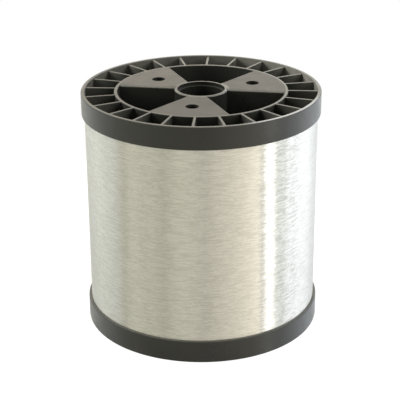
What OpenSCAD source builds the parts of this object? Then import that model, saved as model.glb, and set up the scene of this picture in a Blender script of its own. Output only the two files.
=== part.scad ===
// A full spool of galvanized steel wire, standing on the rim of one flange.
// The spool is one plastic moulding: a barrel, two ribbed flanges, a hub tube
// with a bore for a spindle, and six pockets that open at the two ends in turn.
// The plate that closes each pocket carries a drive hole.
// The wire is one turned winding that fills the space between the flanges.
// The origin is the centre of the lower rim, and Z is the axis of the bore.
// All sizes are in millimetres and all angles in degrees.

/* [Wire winding] */
// Length of barrel between the flanges, which the wire fills
traverse = 166; // [80:1:300]
// How far the rims of the flanges stand above the full winding
rim_stand = 2.5; // [1:0.5:12]
// Diameter of the wire
wire_d = 0.5; // [0.3:0.1:2]
// Gap between the barrel and the first layer of wire
first_layer_gap = 0.1; // [0.05:0.05:0.3]

/* [Flanges] */
// Diameter of both flanges
flange_d = 200; // [185:1:260]
// Thickness of each flange over its rim
flange_t = 19; // [12:0.5:30]
// Thickness of the disc that holds the wire back
disc_t = 3; // [2:0.5:6]
// Wall of the rim
rim_wall = 3.2; // [2.4:0.1:6]
// Radius on the outer edges of the rim
rim_round = 1; // [0.5:0.1:1.5]
// How far the ribs, webs and barrel ends lie below the rim
face_recess = 1; // [0.5:0.1:3]

/* [Ribs] */
// Number of ribs in each flange
rib_count = 24; // [8:1:36]
// Thickness of a rib at its free edge
rib_t = 2.2; // [1.5:0.1:4]
// Angle of the first rib from the X axis
rib_turn = 5; // [0:0.5:15]

/* [Barrel] */
// Diameter that the wire is wound on
barrel_d = 145; // [120:1:165]
// Wall of the barrel at the mouth of a pocket
barrel_wall = 2.7; // [2:0.1:5]

/* [Hub] */
// Diameter of the bore
bore_d = 36; // [20:0.5:46]
// Wall of the hub tube
hub_wall = 4; // [3:0.1:7]
// How far the hub ends stand above the webs
hub_stand = 0.5; // [0.2:0.1:0.9]
// Width of the slope from a hub end down to the webs
hub_slope = 2.5; // [1:0.1:5]
// Width of the step at each mouth of the bore
step_w = 1.8; // [0.8:0.1:2.4]
// Depth of the step at each mouth of the bore
step_depth = 3.3; // [0.5:0.1:5]

/* [Webs and pockets] */
// Number of webs at each end
web_count = 3; // [2:1:5]
// Angle of the first upper web from the X axis
web_turn = 30; // [0:1:60]
// Thickness of a web
web_t = 3; // [2:0.5:8]
// Radius on the edges of a web beside the pockets
web_round = 2.5; // [1.5:0.5:3]
// Thickness of the walls between the pockets
wall_t = 2.5; // [2:0.1:5]
// Slope of the pocket walls, which lets the mould draw
wall_draft = 1.8; // [0:0.1:2.4]
// Slope of the barrel and hub faces inside a pocket
tube_draft = 0.4; // [0:0.1:0.6]
// Diameter of the drive holes
drive_hole_d = 11; // [6:0.5:16]
// Diameter of the circle through the drive holes
drive_pcd = 93; // [86:1:104]

/* [Edges] */
// Bevel on the moulded edges
edge = 0.4; // [0.2:0.1:0.6]

/* [Hidden] */
$fn = 96;

height = traverse + 2 * flange_t;
mid = height / 2;
face_top = height - face_recess;
hub_top = face_top + hub_stand;

flange_r = flange_d / 2;
rim_inner_r = flange_r - rim_wall;
barrel_r = barrel_d / 2;
barrel_inner_r = barrel_r - barrel_wall;
bore_r = bore_d / 2;
hub_r = bore_r + hub_wall;
step_r = bore_r + step_w;
winding_r = flange_r - rim_stand;

sector = 180 / web_count;
pocket_floor = face_recess + web_t;
fine_edge = 0.75 * edge;
seam_overlap = barrel_wall / 2;
past = 1;
reach = flange_d;
round_steps = 5;

spool_colour = [0.27, 0.27, 0.26];
wire_colour = [0.74, 0.73, 0.70];

// Points of a quarter circle about the centre c, counted from the angle a
function quarter(c, r, a) =
    [for (i = [0 : round_steps]) c + r * [cos(a + 90 * i / round_steps), sin(a + 90 * i / round_steps)]];

// How far a face with a slope has moved over a height
function drift(slope, rise) = rise * tan(slope);

// Turns an upper half of a part into the lower one
module flipped() {
    translate([0, 0, height]) mirror([0, 0, 1]) children();
}

// The section of one half of the hub, core and barrel, from the middle up
module core_half_section() {
    polygon([
        [bore_r, mid - past],
        [barrel_r, mid - past],
        [barrel_r, face_top - edge],
        [barrel_r - edge, face_top],
        [hub_r + hub_slope, face_top],
        [hub_r, hub_top],
        [step_r, hub_top],
        [step_r, hub_top - step_depth],
        [bore_r, hub_top - step_depth],
    ]);
}

// The barrel with its inside still solid, and the bore through it
module core() {
    rotate_extrude() core_half_section();
    flipped() rotate_extrude() core_half_section();
}

// One side of a pocket: the sloping wall, and the edge of the web above it,
// which is rounded in flats that turn by the angles in turns
module pocket_side() {
    turns = [wall_draft, 30, 60];
    centre = [drift(wall_draft, face_top - web_round - mid) - wall_t / 2 + web_round / cos(wall_draft),
        face_top - web_round];
    function corner(i) = centre + web_round / cos((turns[i + 1] - turns[i]) / 2)
        * [-cos((turns[i] + turns[i + 1]) / 2), sin((turns[i] + turns[i + 1]) / 2)];
    rise = height + past - corner(1)[1];
    rotate([90, 0, 90]) translate([0, 0, -reach]) linear_extrude(2 * reach) polygon([
        [drift(wall_draft, -mid) - wall_t / 2, 0],
        corner(0),
        corner(1),
        corner(1) + [drift(turns[2], rise), rise],
        [reach, height + past],
        [reach, 0],
    ]);
}

// A pocket that opens upwards, about the X axis, with a fine bevel at its
// mouth on the barrel and hub faces
module pocket() {
    bevel_z = face_top - fine_edge;
    taper = drift(tube_draft, bevel_z - pocket_floor);
    spread = height + past - bevel_z;
    difference() {
        rotate([0, 0, -sector]) rotate_extrude(angle = 2 * sector) polygon([
            [hub_r + taper, pocket_floor],
            [barrel_inner_r - taper, pocket_floor],
            [barrel_inner_r, bevel_z],
            [barrel_inner_r + spread, height + past],
            [hub_r - spread, height + past],
            [hub_r, bevel_z],
        ]);
        for (side = [0, 1]) mirror([0, side, 0]) rotate([0, 0, sector / 2]) pocket_side();
    }
}

// The drive hole in the web above the X axis
module drive_hole() {
    translate([drive_pcd / 2, 0, face_top - 2 * web_t])
        cylinder(h = 3 * web_t, d = drive_hole_d);
}

// The holes and pockets of the core: those that open at the top lie between
// the upper webs, and those that open at the bottom lie under them
module core_spaces() {
    for (i = [0 : web_count - 1]) {
        web_angle = web_turn + 2 * sector * i;
        rotate([0, 0, web_angle]) drive_hole();
        rotate([0, 0, web_angle + sector]) pocket();
        flipped() rotate([0, 0, web_angle]) pocket();
        flipped() rotate([0, 0, web_angle + sector]) drive_hole();
    }
}

// The section of the upper flange: the disc, and the rim with its rounded
// outer edges and bevelled inner edge
module flange_section() {
    low = height - flange_t;
    polygon(concat(
        [[barrel_r - seam_overlap, low]],
        quarter([flange_r - rim_round, low + rim_round], rim_round, -90),
        quarter([flange_r - rim_round, height - rim_round], rim_round, 0),
        [
            [rim_inner_r + edge, height],
            [rim_inner_r, height - edge],
            [rim_inner_r, low + disc_t],
            [barrel_r - seam_overlap, low + disc_t],
        ]));
}

// One rib about the X axis, thicker at its root and bevelled at its free edge
module rib() {
    low = height - flange_t + disc_t / 2;
    rise = face_top - low;
    root = rib_t / 2 + drift(tube_draft, rise);
    rotate([90, 0, 90]) translate([0, low, barrel_r - seam_overlap])
        linear_extrude(rim_inner_r + rim_wall / 2 - barrel_r + seam_overlap) polygon([
            [-root, 0],
            [root, 0],
            [rib_t / 2, rise - fine_edge],
            [rib_t / 2 - fine_edge, rise],
            [fine_edge - rib_t / 2, rise],
            [-rib_t / 2, rise - fine_edge],
        ]);
}

module upper_flange() {
    rotate_extrude() flange_section();
    for (i = [0 : rib_count - 1]) rotate([0, 0, rib_turn + 360 * i / rib_count]) rib();
}

module spool() {
    color(spool_colour) {
        difference() {
            core();
            core_spaces();
        }
        upper_flange();
        flipped() upper_flange();
    }
}

// The winding, with the round of its outermost turns at both ends
module wire_winding() {
    low = flange_t;
    high = height - flange_t;
    inner = barrel_r + first_layer_gap;
    color(wire_colour) rotate_extrude() polygon(concat(
        [[inner, low]],
        quarter([winding_r - wire_d / 2, low + wire_d / 2], wire_d / 2, -90),
        quarter([winding_r - wire_d / 2, high - wire_d / 2], wire_d / 2, 0),
        [[inner, high]]));
}

spool();
wire_winding();
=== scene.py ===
import bpy
import math
from mathutils import Matrix, Vector


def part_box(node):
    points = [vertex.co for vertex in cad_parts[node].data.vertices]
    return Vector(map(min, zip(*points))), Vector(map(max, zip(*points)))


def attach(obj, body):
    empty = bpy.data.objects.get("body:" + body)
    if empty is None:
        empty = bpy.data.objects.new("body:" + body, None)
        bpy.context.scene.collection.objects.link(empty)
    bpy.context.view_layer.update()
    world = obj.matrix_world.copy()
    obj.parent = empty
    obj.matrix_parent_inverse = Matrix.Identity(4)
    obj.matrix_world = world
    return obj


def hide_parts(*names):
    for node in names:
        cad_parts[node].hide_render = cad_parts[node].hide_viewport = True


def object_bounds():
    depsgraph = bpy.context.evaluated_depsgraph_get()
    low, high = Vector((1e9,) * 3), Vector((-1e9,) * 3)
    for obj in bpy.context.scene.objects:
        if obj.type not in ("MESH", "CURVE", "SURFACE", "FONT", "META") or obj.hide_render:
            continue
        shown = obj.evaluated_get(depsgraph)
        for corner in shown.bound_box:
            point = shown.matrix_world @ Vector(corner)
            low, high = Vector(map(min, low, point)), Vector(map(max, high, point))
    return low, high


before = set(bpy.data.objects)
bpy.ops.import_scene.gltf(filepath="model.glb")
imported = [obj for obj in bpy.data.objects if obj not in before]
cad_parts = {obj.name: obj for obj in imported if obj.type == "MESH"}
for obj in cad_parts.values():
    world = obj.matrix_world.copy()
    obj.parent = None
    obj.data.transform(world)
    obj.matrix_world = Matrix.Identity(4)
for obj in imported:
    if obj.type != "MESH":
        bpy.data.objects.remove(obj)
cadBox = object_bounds()
print("frame loaded, with", len(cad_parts), "CAD nodes")

# Lengths are in metres and angles in degrees. The bearing of a direction is its angle
# round Z from +X, and how steep a face is goes by the cosine of its slope.


def deselectAll():
    bpy.ops.object.select_all(action="DESELECT")


def applyModifier(obj, kind, **settings):
    bpy.ops.object.modifier_add(type=kind)
    modifier = obj.modifiers[-1]
    for name, value in settings.items():
        setattr(modifier, name, value)
    bpy.ops.object.modifier_apply(modifier=modifier.name)


def newMaterial(name):
    material = bpy.data.materials.new(name)
    material.use_nodes = True
    return material, material.node_tree


def feed(tree, node, inputs):
    # An input takes a number, a colour, a vector or the output of another node
    for name, value in inputs.items():
        if isinstance(value, bpy.types.NodeSocket):
            tree.links.new(value, node.inputs[name])
        else:
            node.inputs[name].default_value = value


def addNode(tree, kind, inputs, **settings):
    node = tree.nodes.new(kind)
    for name, value in settings.items():
        setattr(node, name, value)
    feed(tree, node, inputs)
    return node


def mathOf(tree, operation, *values):
    return addNode(tree, "ShaderNodeMath", dict(enumerate(values)), operation=operation).outputs[0]


def vectorOf(tree, operation, *values):
    node = addNode(tree, "ShaderNodeVectorMath", dict(enumerate(values)), operation=operation)
    return node.outputs["Vector"]


def product(tree, first, *others):
    for other in others:
        first = mathOf(tree, "MULTIPLY", first, other)
    return first


def largest(tree, first, *others):
    for other in others:
        first = mathOf(tree, "MAXIMUM", first, other)
    return first


def between(tree, value, ends):
    # 1 between the two ends, and 0 outside them
    low, high = ends
    return mathOf(tree, "COMPARE", value, (low + high) / 2, (high - low) / 2)


def scaled(tree, vector, scale):
    node = addNode(tree, "ShaderNodeVectorMath", {0: vector, "Scale": scale}, operation="SCALE")
    return node.outputs["Vector"]


def dot(tree, first, second):
    node = addNode(tree, "ShaderNodeVectorMath", {0: first, 1: second}, operation="DOT_PRODUCT")
    return node.outputs["Value"]


def remap(tree, value, before, after):
    # Stretches the range before to the range after, and holds what lies outside it at its ends
    ends = {"From Min": before[0], "From Max": before[1], "To Min": after[0], "To Max": after[1]}
    return addNode(tree, "ShaderNodeMapRange", {"Value": value, **ends}).outputs["Result"]


def mix(tree, kind, share, first, second):
    # Blends two colours (RGBA) or two vectors (VECTOR)
    node = addNode(tree, "ShaderNodeMix", {"Factor": share}, data_type=kind)
    sockets = {socket.name: i for i, socket in enumerate(node.inputs) if socket.type == kind}
    feed(tree, node, {sockets["A"]: first, sockets["B"]: second})
    return [socket for socket in node.outputs if socket.type == kind][0]


def mixShaders(tree, share, first, second):
    return addNode(tree, "ShaderNodeMixShader", {0: share, 1: first, 2: second}).outputs[0]


def objectPlace(tree):
    return addNode(tree, "ShaderNodeTexCoord", {}).outputs["Object"]


def directionFromAxis(tree, place):
    return vectorOf(tree, "NORMALIZE", vectorOf(tree, "MULTIPLY", place, (1, 1, 0)))


def towards(tree, outward, side, shares):
    # A share that changes as a place comes round to a side: the side is its bearing, with
    # the cosines of the angles from it at which the change starts and ends
    bearing, start, end = side
    turn = math.radians(bearing)
    return remap(tree, dot(tree, outward, (math.cos(turn), math.sin(turn), 0)), (start, end), shares)


shot = {
    "bearing": -81.1,        # where the camera stands
    "elevation": 22.54,      # how far above the level it stands, seen from the middle of the spool
    "distance": 1.0876,
    "lens": 113.43,          # millimetres
    "pan": -0.08,            # small turns off the middle of the spool
    "tilt": 0.054,
    "roll": -0.37,
    "nearest": 0.01,         # how near it still sees
}


def placeCamera():
    v = shot
    low, high = cadBox
    middle = Vector((0, 0, (low.z + high.z) / 2))
    bearing, elevation = math.radians(v["bearing"]), math.radians(v["elevation"])
    level = Vector((math.cos(bearing), math.sin(bearing), 0)) * math.cos(elevation)
    away = level + Vector((0, 0, math.sin(elevation)))
    bpy.ops.object.camera_add(location=middle + away * v["distance"])
    camera = bpy.context.object
    aim = (-away).to_track_quat("-Z", "Y").to_matrix()
    aim = aim @ Matrix.Rotation(-math.radians(v["pan"]), 3, "Y")
    aim = aim @ Matrix.Rotation(math.radians(v["tilt"]), 3, "X")
    aim = aim @ Matrix.Rotation(math.radians(v["roll"]), 3, "Z")
    camera.rotation_euler = aim.to_euler()
    camera.data.lens = v["lens"]
    camera.data.clip_start = v["nearest"]
    bpy.context.scene.camera = camera
    print("camera placed")


# The walls are what reflections see of the studio: each stop is an angle from the
# camera, counted to the right in the picture, with the level and tint there
studio = {
    "tints": {
        "daylight": (0.97, 1.00, 0.95),
        "olive": (1.01, 1.00, 0.86),
        "cream": (1.03, 1.00, 0.89),
        "sand": (1.05, 1.00, 0.88),
        "sky": (0.95, 1.00, 1.07),
        "white": (1.00, 1.00, 1.00),
        "haze": (0.95, 1.00, 1.00),
        "wood": (1.12, 0.98, 0.84),
    },
    "walls": [
        (-180, 0.97, "wood"),
        (-145, 1.06, "daylight"),
        (-118, 1.12, "daylight"),
        (-91, 0.88, "daylight"),
        (-84, 0.73, "olive"),
        (-76.5, 0.65, "olive"),
        (-76, 0.81, "olive"),
        (-61, 0.80, "olive"),
        (-60, 0.73, "olive"),
        (-48, 0.74, "olive"),
        (-36, 0.64, "olive"),
        (-31, 0.73, "olive"),
        (-18, 0.81, "olive"),
        (-7, 0.77, "cream"),
        (3, 0.71, "cream"),
        (36, 1.02, "sand"),
        (50, 1.24, "sand"),
        (53.5, 1.30, "sand"),
        (57.5, 1.66, "sand"),
        (58, 0.72, "sand"),
        (63, 0.72, "white"),
        (63.5, 2.40, "white"),
        (73.5, 2.40, "white"),
        (74, 1.26, "haze"),
        (88.5, 1.16, "haze"),
        (90.5, 1.68, "sky"),
        (100, 1.46, "sky"),
        (107, 1.75, "sky"),
        (124, 1.73, "sky"),
        (135, 1.50, "sky"),
        (168, 1.08, "haze"),
        (180, 0.97, "wood"),
    ],
    "background": 1.0,       # what the picture shows beyond the floor
    "roomLight": 0.32,       # what lights the object from all round
    "lamps": [(85, 20.0), (-98, 34.0)],      # angle from the camera and power of each
    "lampSize": 0.8,
    "lampReach": 1.5,        # distance from the axis of the spool
    "lampHeight": 1.0,
}


def wallsRound(tree):
    # The colour of the walls in the direction that a ray leaves for
    leaving = addNode(tree, "ShaderNodeTexCoord", {}).outputs["Generated"]
    turned = addNode(tree, "ShaderNodeVectorRotate",
        {"Vector": leaving, "Angle": -math.radians(shot["bearing"])}, rotation_type="Z_AXIS")
    apart = addNode(tree, "ShaderNodeSeparateXYZ", {0: turned.outputs["Vector"]}).outputs
    share = remap(tree, mathOf(tree, "ARCTAN2", apart["Y"], apart["X"]), (-math.pi, math.pi), (0, 1))
    ramp = addNode(tree, "ShaderNodeValToRGB", {"Fac": share})
    stops = ramp.color_ramp.elements
    stops.remove(stops[1])
    for i, (angle, level, tint) in enumerate(studio["walls"]):
        stop = stops[0] if i == 0 else stops.new(1)
        stop.position = (angle + 180) / 360
        stop.color = (*(level * c for c in studio["tints"][tint]), 1)
    return ramp.outputs["Color"]


def makeStudio():
    v = studio
    world = bpy.data.worlds.new("studio")
    bpy.context.scene.world = world
    world.use_nodes = True
    tree = world.node_tree
    tree.nodes.clear()
    white = (1, 1, 1, 1)
    room = addNode(tree, "ShaderNodeBackground", {"Color": white, "Strength": v["roomLight"]}).outputs[0]
    walls = addNode(tree, "ShaderNodeBackground", {"Color": wallsRound(tree)}).outputs[0]
    beyond = addNode(tree, "ShaderNodeBackground", {"Color": white, "Strength": v["background"]}).outputs[0]
    path = addNode(tree, "ShaderNodeLightPath", {}).outputs
    reflected = mixShaders(tree, path["Is Glossy Ray"], room, walls)
    pictured = mixShaders(tree, path["Is Camera Ray"], reflected, beyond)
    addNode(tree, "ShaderNodeOutputWorld", {"Surface": pictured})

    # The walls stand for the lamps in reflections
    for angle, power in v["lamps"]:
        turn = math.radians(shot["bearing"] + angle)
        place = Vector((math.cos(turn), math.sin(turn), 0)) * v["lampReach"]
        place.z = v["lampHeight"]
        bpy.ops.object.light_add(type="AREA", location=place)
        lamp = bpy.context.object
        lamp.data.size = v["lampSize"]
        lamp.data.energy = power
        lamp.rotation_euler = (-place).to_track_quat("-Z", "Y").to_euler()
        lamp.visible_glossy = False
    print("studio lit, with", len(v["walls"]), "wall stops and", len(v["lamps"]), "lamps")


floor = {
    "radius": 0.42,
    "corners": 96,
    "paint": (0.45, 0.45, 0.44),
    "glow": 0.90,            # its own light in the picture, which keeps it white
    "pictureShare": 0.53,    # share of the painted colour that the picture adds to the glow
    "polish": (0.88, 0.88, 0.88, 1),     # how much of the walls it mirrors in what the object reflects
    "polishBlur": 0.1,
}


def makeFloor():
    # It lights the object as paint, shows it the walls as a mirror, and is white in the picture
    v = floor
    deselectAll()
    bpy.ops.mesh.primitive_circle_add(vertices=v["corners"], radius=v["radius"], fill_type="NGON")
    ground = bpy.context.object
    ground.name = "studio_floor"
    material, tree = newMaterial("pale_floor")
    tree.nodes.remove(tree.nodes["Principled BSDF"])
    dimmed = tuple(c * v["pictureShare"] for c in v["paint"])
    paint = addNode(tree, "ShaderNodeBsdfDiffuse", {"Color": (*v["paint"], 1)}).outputs[0]
    dimPaint = addNode(tree, "ShaderNodeBsdfDiffuse", {"Color": (*dimmed, 1)}).outputs[0]
    glow = addNode(tree, "ShaderNodeEmission", {"Strength": v["glow"]}).outputs[0]
    lit = addNode(tree, "ShaderNodeAddShader", {0: glow, 1: dimPaint}).outputs[0]
    mirror = {"Color": v["polish"], "Roughness": v["polishBlur"]}
    polish = addNode(tree, "ShaderNodeBsdfGlossy", mirror).outputs[0]
    path = addNode(tree, "ShaderNodeLightPath", {}).outputs
    inPicture = path["Is Camera Ray"]
    inReflection = mathOf(tree, "MAXIMUM", path["Is Glossy Ray"], path["Is Transmission Ray"])
    shown = mixShaders(tree, inPicture, polish, lit)
    surface = mixShaders(tree, mathOf(tree, "MAXIMUM", inPicture, inReflection), paint, shown)
    feed(tree, tree.nodes["Material Output"], {"Surface": surface})
    ground.data.materials.append(material)
    print("floor laid")


moulding = {
    "weld": 0.00005,         # points nearer than this are one
    "flatTo": 0.5,           # faces that turn by less are one flat face
    "softEdge": 0.00004,
    "edgeSteps": 2,
    "sharpFrom": 50,         # edges that turn by more are softened
    "smoothTo": 35,          # edges that turn by less are shaded smooth
}


def makeMoulding():
    # The CAD node keeps its own mesh, and a merged copy of it gets soft edges
    v = moulding
    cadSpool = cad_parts["spool"]
    deselectAll()
    cadSpool.select_set(True)
    bpy.context.view_layer.objects.active = cadSpool
    bpy.ops.object.duplicate()
    spool = bpy.context.object
    spool.name = "moulded_spool"
    bpy.ops.mesh.customdata_custom_splitnormals_clear()
    bpy.ops.object.mode_set(mode="EDIT")
    bpy.ops.mesh.select_all(action="SELECT")
    bpy.ops.mesh.remove_doubles(threshold=v["weld"])
    bpy.ops.mesh.normals_make_consistent(inside=False)
    bpy.ops.mesh.dissolve_degenerate(threshold=v["weld"])
    bpy.ops.mesh.dissolve_limited(angle_limit=math.radians(v["flatTo"]))
    bpy.ops.object.mode_set(mode="OBJECT")
    applyModifier(spool, "BEVEL", width=v["softEdge"], segments=v["edgeSteps"], limit_method="ANGLE",
        angle_limit=math.radians(v["sharpFrom"]), use_clamp_overlap=False)
    bpy.ops.object.shade_smooth_by_angle(angle=math.radians(v["smoothTo"]))
    applyModifier(spool, "WEIGHTED_NORMAL", keep_sharp=True)
    spool.data.materials.clear()
    spool.data.materials.append(makePlastic())
    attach(spool, "root")
    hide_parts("spool")
    print("spool moulded,", len(spool.data.polygons), "faces")


# A side is its bearing, with the cosines of the angles from it at which a change starts
# and ends. A noise is its cells to the metre, detail, roughness and seed. Radii are from
# the axis, and depths from the nearer end.
plasticFinish = {
    "dark": (0.027, 0.027, 0.0235, 1),
    "light": (0.036, 0.036, 0.031, 1),
    "clouds": (22.0, 4.0, 0.6, 0.0),     # drift from dark to light
    "ior": 1.5,
    "gloss": (1, 0.99, 0.93, 1),
    "smooth": 0.26,
    "rough": 0.36,
    "wipes": (60.0, 5.0, 0.65, 5.0),     # drift from smooth to rough
    "noiseSpan": (0.35, 0.65),           # what both noises rise through
    "grain": (700.0, 2.0, 0.5, 0.0),
    "grainDepth": 0.00002,
    "grainStrength": 0.5,

    # A pale layer over the plastic: real dust in patches, and painted light in the same colour
    "dustAndLight": (0.30, 0.292, 0.245, 1),
    "patches": (55.0, 5.0, 0.62, 11.0),
    "patchSpan": (0.3, 0.7),
    "thinnest": 0.6,         # share of the dust and painted light that is left where a patch is thin
    "bareFrom": 0.0995,     # radius from which there is none, on the outside of the rims
    "upDustAndSheen": 0.18,         # dust and painted sheen on the faces that look up
    "topFrom": 0.5,          # the slope at which it starts
    "dimTopSide": (-81, 0.2, 0.9),
    "dimTopShare": 0.35,      # share of that dust and painted sheen that the dimmer side keeps, a painted shade on that side
    "paintedWallLight": 0.95,           # painted light on the walls inside the rims
    "paintedWallLightTurn": (-0.6, -0.95),      # how far a face looks inwards where it starts and is full
    "paintedWallLightFrom": 0.094,      # radius from which a wall is a rim's
    "paintedWallLightSide": (54, 0.1, 0.9),
    "paintedWallLightLeast": 0.45,      # share of that painted light that the far side has
    "cellLight": 0.35,        # painted light between the ribs, where they meet the rim
    "cellLightAt": (0.076, 0.0965),   # radii where it starts and is full

    "scuffAndHighlight": 0.95,           # scuffs and a painted highlight on the rims, ribs and hub ends that stand out at the two ends
    "scuffAndHighlightSide": (40, -0.6, 0.9),
    "scuffAndHighlightLeast": 0.52,      # share of the scuffs and painted highlight that the far side has
    "endDepth": 0.0015,      # the faces above it stand out
    "levelFrom": 0.9,        # the slope up to which a face is level
    "webs": (0.0235, 0.0705),        # radii between which the webs lie
    "webEdgeHighlight": 0.7,          # painted highlight on the rounded edges of the webs
    "webEdgeHighlightDepth": 0.0036,
    "webEdgeHighlightTurn": (0.43, 0.97),     # the slopes that those edges have
    # A painted highlight on the level tops of the rims, on one side
    "rimHighlight": (0.54, 0.54, 0.51, 1),
    "rimHighlightFrom": 0.0965,    # radius from which the end of a flange is its rim
    "rimHighlightSide": (-33, 0.86, 0.97),
    "hubRadius": 0.0224,
    "hubPaintedShade": 0.6,         # how much of its colour the hub tube keeps, inside and out: painted shade in the bore and on the hub wall
}


def spoolNoise(tree, noise):
    cells, detail, roughness, seed = noise
    squeezed = addNode(tree, "ShaderNodeMapping",
        {"Vector": objectPlace(tree), "Location": (seed,) * 3, "Scale": (cells,) * 3}).outputs["Vector"]
    values = {"Vector": squeezed, "Scale": 1.0, "Detail": detail, "Roughness": roughness}
    return addNode(tree, "ShaderNodeTexNoise", values).outputs[0]


def placeOnSpool(tree):
    # What the finish asks of a place: its direction and distance from the axis, its depth
    # from the nearer end, and how far its face looks up, is level and looks outwards
    low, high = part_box("spool")
    place = objectPlace(tree)
    normal = addNode(tree, "ShaderNodeNewGeometry", {}).outputs["Normal"]
    flat = vectorOf(tree, "MULTIPLY", place, (1, 1, 0))
    height = addNode(tree, "ShaderNodeSeparateXYZ", {0: place}).outputs["Z"]
    fromMiddle = mathOf(tree, "ABSOLUTE", mathOf(tree, "SUBTRACT", height, (low.z + high.z) / 2))
    outward = directionFromAxis(tree, place)
    up = dot(tree, normal, (0, 0, 1))
    return {
        "outward": outward,
        "radius": addNode(tree, "ShaderNodeVectorMath", {0: flat}, operation="LENGTH").outputs["Value"],
        "depth": mathOf(tree, "SUBTRACT", (high.z - low.z) / 2, fromMiddle),
        "up": up,
        "level": mathOf(tree, "ABSOLUTE", up),
        "facingOut": dot(tree, normal, outward),
    }


def standsOut(tree, at):
    # 1 on the level faces of the rims, the ribs and the hub ends, and 0 on the webs and deeper down
    v = plasticFinish
    offWebs = mathOf(tree, "SUBTRACT", 1, between(tree, at["radius"], v["webs"]))
    atEnd = mathOf(tree, "LESS_THAN", at["depth"], v["endDepth"])
    isLevel = mathOf(tree, "GREATER_THAN", at["level"], v["levelFrom"])
    return product(tree, offWebs, atEnd, isLevel)


def dustAndLightOnSpool(tree, at, standing):
    v = plasticFinish
    # Dust and painted sheen on the faces that look up, less of the painted sheen on one side
    # Real dust in patches, and painted light in the same pale colour: painted sheen on faces that look up,
    # painted light on the rim walls and between the ribs, painted highlights on the raised tops and web
    # edges
    topDustAndSheen = product(tree, remap(tree, at["up"], (v["topFrom"], 1), (0, v["upDustAndSheen"])),
        towards(tree, at["outward"], v["dimTopSide"], (1, v["dimTopShare"])))
    # Painted light on the walls inside the rims, brightest on the side that faces the lamp
    paintedWallLight = product(tree, remap(tree, at["facingOut"], v["paintedWallLightTurn"], (0, v["paintedWallLight"])),
        mathOf(tree, "GREATER_THAN", at["radius"], v["paintedWallLightFrom"]),
        towards(tree, at["outward"], v["paintedWallLightSide"], (v["paintedWallLightLeast"], 1)))
    # Scuffs and a painted highlight on the raised tops, brightest on one side
    scuffAndHighlight = product(tree, standing,
        towards(tree, at["outward"], v["scuffAndHighlightSide"], (v["scuffAndHighlight"] * v["scuffAndHighlightLeast"], v["scuffAndHighlight"])))
    # Painted highlight along the rounded edges of the webs
    webEdgeHighlights = product(tree, between(tree, at["level"], v["webEdgeHighlightTurn"]),
        mathOf(tree, "LESS_THAN", at["depth"], v["webEdgeHighlightDepth"]),
        mathOf(tree, "LESS_THAN", at["radius"], v["webs"][1]), v["webEdgeHighlight"])
    # Painted bounce light on the rib flanks, fading away from the rim
    cells = remap(tree, at["radius"], v["cellLightAt"], (0, v["cellLight"]))
    return product(tree, largest(tree, topDustAndSheen, paintedWallLight, scuffAndHighlight, webEdgeHighlights, cells),
        remap(tree, spoolNoise(tree, v["patches"]), v["patchSpan"], (v["thinnest"], 1)),
        mathOf(tree, "LESS_THAN", at["radius"], v["bareFrom"]))


def plasticColour(tree):
    v = plasticFinish
    at = placeOnSpool(tree)
    standing = standsOut(tree, at)
    clouds = remap(tree, spoolNoise(tree, v["clouds"]), v["noiseSpan"], (0, 1))
    colour = mix(tree, "RGBA", clouds, v["dark"], v["light"])
    # Painted shade: the walls of the hub tube, in the bore and out, are darkened
    shadedHubWall = product(tree, mathOf(tree, "LESS_THAN", at["radius"], v["hubRadius"]),
        mathOf(tree, "LESS_THAN", at["level"], v["levelFrom"]))
    colour = scaled(tree, colour, remap(tree, shadedHubWall, (0, 1), (1, v["hubPaintedShade"])))
    colour = mix(tree, "RGBA", dustAndLightOnSpool(tree, at, standing), colour, v["dustAndLight"])
    # Painted highlight on the level tops of the rims, on the side at the rim highlight's bearing
    rimHighlight = product(tree, standing, towards(tree, at["outward"], v["rimHighlightSide"], (0, 1)),
        mathOf(tree, "GREATER_THAN", at["radius"], v["rimHighlightFrom"]))
    return mix(tree, "RGBA", rimHighlight, colour, v["rimHighlight"])


def makePlastic():
    v = plasticFinish
    material, tree = newMaterial("spool_plastic_finish")
    bump = addNode(tree, "ShaderNodeBump", {
        "Strength": v["grainStrength"],
        "Distance": v["grainDepth"],
        "Height": spoolNoise(tree, v["grain"]),
    })
    feed(tree, tree.nodes["Principled BSDF"], {
        "Base Color": plasticColour(tree),
        "Roughness": remap(tree, spoolNoise(tree, v["wipes"]), v["noiseSpan"], (v["smooth"], v["rough"])),
        "IOR": v["ior"],
        "Specular Tint": v["gloss"],
        "Normal": bump.outputs["Normal"],
    })
    return material


winding = {
    "wireAcross": 0.0005,
    "corners": 96,           # of a turn, seen from above
    "valleyDepth": 0.00016,  # how far the valley between two turns lies under their crests
    "crestFrom": 0.27,       # where on a turn's width its crest starts and ends
    "crestTo": 0.73,
    "slack": 0.02,           # share of a turn's width within which two points are one
    "smoothTo": 80,          # edges that turn by less are shaded smooth
}


def selectEdges(obj, isWanted):
    # Selects the edges whose two ends are both wanted
    bpy.ops.mesh.select_all(action="DESELECT")
    bpy.ops.object.mode_set(mode="OBJECT")
    vertices = obj.data.vertices
    for edge in obj.data.edges:
        edge.select = all(isWanted(vertices[i].co) for i in edge.vertices)
    bpy.ops.object.mode_set(mode="EDIT")


def pullRing(rise, scale):
    # Extrudes the selected ring upwards and widens or narrows it about Z
    bpy.ops.mesh.extrude_region_move(TRANSFORM_OT_translate={"value": (0, 0, rise)})
    bpy.ops.transform.resize(value=(scale, scale, 1), center_override=(0, 0, 0))


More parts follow.
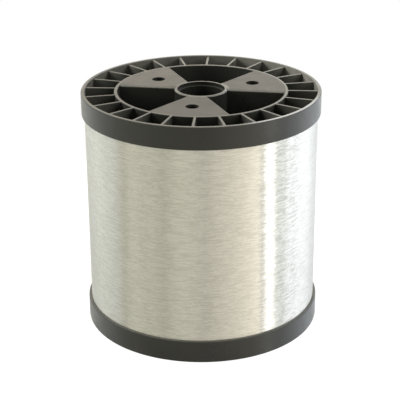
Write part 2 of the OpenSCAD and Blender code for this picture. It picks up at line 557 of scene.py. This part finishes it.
def makeFirstTurn(bottom, valley, crest, pitch):
    # A ring in the valley goes out to the crest, up along it, and in to the next valley
    v = winding
    deselectAll()
    bpy.ops.mesh.primitive_circle_add(vertices=v["corners"], radius=valley, location=(0, 0, bottom))
    bpy.ops.object.transform_apply(location=True, rotation=True, scale=True)
    bpy.ops.object.mode_set(mode="EDIT")
    bpy.ops.mesh.select_mode(type="EDGE")
    bpy.ops.mesh.select_all(action="SELECT")
    pullRing(pitch * v["crestFrom"], crest / valley)
    pullRing(pitch * (v["crestTo"] - v["crestFrom"]), 1)
    pullRing(pitch * (1 - v["crestTo"]), valley / crest)
    bpy.ops.object.mode_set(mode="OBJECT")
    return bpy.context.object


def closeEnds(turns, ends, valley, bore, pitch):
    # Both ends of the wound tube run in to the bore, and a wall joins them there
    slack = pitch * winding["slack"]
    bpy.ops.object.mode_set(mode="EDIT")
    for end in ends:
        selectEdges(turns, lambda co: abs(co.z - end) < slack)
        pullRing(0, bore / valley)
    selectEdges(turns, lambda co: co.xy.length < bore + pitch)
    bpy.ops.mesh.bridge_edge_loops()
    bpy.ops.mesh.select_all(action="SELECT")
    bpy.ops.mesh.remove_doubles(threshold=slack)
    bpy.ops.mesh.normals_make_consistent(inside=False)
    bpy.ops.object.mode_set(mode="OBJECT")


def makeTurns():
    v = winding
    low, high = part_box("wire_winding")
    crest = high.x
    valley = crest - v["valleyDepth"]
    bore = min(vertex.co.xy.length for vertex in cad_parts["wire_winding"].data.vertices)
    count = round((high.z - low.z) / v["wireAcross"])
    pitch = (high.z - low.z) / count

    turns = makeFirstTurn(low.z, valley, crest, pitch)
    turns.name = "wound_wire"
    applyModifier(turns, "ARRAY", count=count, use_merge_vertices=True, merge_threshold=pitch * v["slack"],
        use_relative_offset=False, use_constant_offset=True, constant_offset_displace=(0, 0, pitch))
    closeEnds(turns, (low.z, high.z), valley, bore, pitch)
    deselectAll()
    turns.select_set(True)
    bpy.ops.object.shade_smooth_by_angle(angle=math.radians(v["smoothTo"]))
    turns.data.materials.append(makeWireFinish())
    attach(turns, "root")
    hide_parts("wire_winding")
    print("wound", count, "turns,", len(turns.data.polygons), "faces")


wireFinish = {
    "paleZinc": (0.80, 0.785, 0.73, 1),
    "greyZinc": (0.55, 0.535, 0.485, 1),
    "spread": 0.28,          # roughness, which spreads a reflection mostly up and down, across the turns
    "spreadTurn": 0.25,      # a quarter, so that the spread is across the turns and not along them
    "lift": 0.22,            # how far the part of a turn that shows looks upwards
    "wallFrom": 0.3,         # the lift is for faces that look outwards by more than this cosine
    "along": 100.0,          # noise cells to the metre along the wire
    "sameTurns": 1.4,        # turns that lie alike, side by side
    "nextTurns": 5.37,       # how far on in the noise the turns beside them are
    "noiseDetail": 3.0,
    "noiseRoughness": 0.75,
    "tilt": 0.11,            # how far a stretch of wire looks up or down from the rest
    "bend": 0.0255,          # and how far to the left or right
    "strayAt": (0.3, 0.7),   # noise levels at which a stretch strays furthest
    "streakAt": (0.415, 0.585),      # noise levels of the greyest and the palest stretch
    "middle": 0.5,           # share of pale zinc in a middling stretch
    "streak": 0.45,          # how far those two stray from it
    "unevenAndGlintSide": (-39, 0.96, 0.99),     # the bends and streaks are strongest here, and there the streaks are partly painted glints and painted shade between crossing turns: bearing and cosines
    "calm": 0.5,             # how much of those bends and streaks the other sides have
    "seeds": {"streak": 0.3, "bend": 7.1, "tilt": 13.7},
}


def turnNoise(tree, place, use):
    # Noise that runs along the wire and starts anew after a few turns
    v = wireFinish
    apart = addNode(tree, "ShaderNodeSeparateXYZ", {0: place}).outputs
    group = winding["wireAcross"] * v["sameTurns"]
    turn = mathOf(tree, "FLOOR", mathOf(tree, "DIVIDE", apart["Z"], group))
    squeezed = addNode(tree, "ShaderNodeCombineXYZ", {
        "X": mathOf(tree, "MULTIPLY", apart["X"], v["along"]),
        "Y": mathOf(tree, "MULTIPLY", apart["Y"], v["along"]),
        "Z": mathOf(tree, "ADD", mathOf(tree, "MULTIPLY", turn, v["nextTurns"]), v["seeds"][use]),
    })
    return addNode(tree, "ShaderNodeTexNoise", {
        "Vector": squeezed.outputs[0],
        "Scale": 1.0,
        "Detail": v["noiseDetail"],
        "Roughness": v["noiseRoughness"],
    }).outputs[0]


def turnNormal(tree, place, outward, unevenAndGlint):
    # The turns are too fine to show one by one, so they share the direction that the
    # wall of the winding has, lifted a little, and each strays from it
    v = wireFinish
    own = addNode(tree, "ShaderNodeNewGeometry", {}).outputs["Normal"]
    alongWire = vectorOf(tree, "CROSS_PRODUCT", (0, 0, 1), outward)
    bends = remap(tree, turnNoise(tree, place, "bend"), v["strayAt"], (-v["bend"], v["bend"]))
    bends = mathOf(tree, "MULTIPLY", bends, unevenAndGlint)
    lifts = (v["lift"] - v["tilt"], v["lift"] + v["tilt"])
    tilts = remap(tree, turnNoise(tree, place, "tilt"), v["strayAt"], lifts)
    shown = vectorOf(tree, "ADD", outward, scaled(tree, alongWire, bends))
    shown = vectorOf(tree, "ADD", shown, scaled(tree, (0, 0, 1), tilts))
    onWall = mathOf(tree, "GREATER_THAN", dot(tree, own, outward), v["wallFrom"])
    return vectorOf(tree, "NORMALIZE", mix(tree, "VECTOR", onWall, own, shown))


def makeWireFinish():
    v = wireFinish
    material, tree = newMaterial("zinc_wire")
    place = objectPlace(tree)
    outward = directionFromAxis(tree, place)
    unevenAndGlint = towards(tree, outward, v["unevenAndGlintSide"], (v["calm"], 1))
    # Streaks of tone that differs at random, stronger on one side, where they are partly painted glints and
    # painted shade
    streaks = remap(tree, turnNoise(tree, place, "streak"), v["streakAt"], (-v["streak"], v["streak"]))
    streaks = mathOf(tree, "ADD", mathOf(tree, "MULTIPLY", streaks, unevenAndGlint), v["middle"])
    around = addNode(tree, "ShaderNodeTangent", {}, direction_type="RADIAL", axis="Z")
    feed(tree, tree.nodes["Principled BSDF"], {
        "Base Color": mix(tree, "RGBA", streaks, v["greyZinc"], v["paleZinc"]),
        "Metallic": 1.0,
        "Roughness": v["spread"],
        "Anisotropic": 1.0,
        "Anisotropic Rotation": v["spreadTurn"],
        "Tangent": around.outputs[0],
        "Normal": turnNormal(tree, place, outward, unevenAndGlint),
    })
    return material


bpy.context.scene.view_settings.view_transform = "Standard"
placeCamera()
makeStudio()
makeFloor()
makeMoulding()
makeTurns()
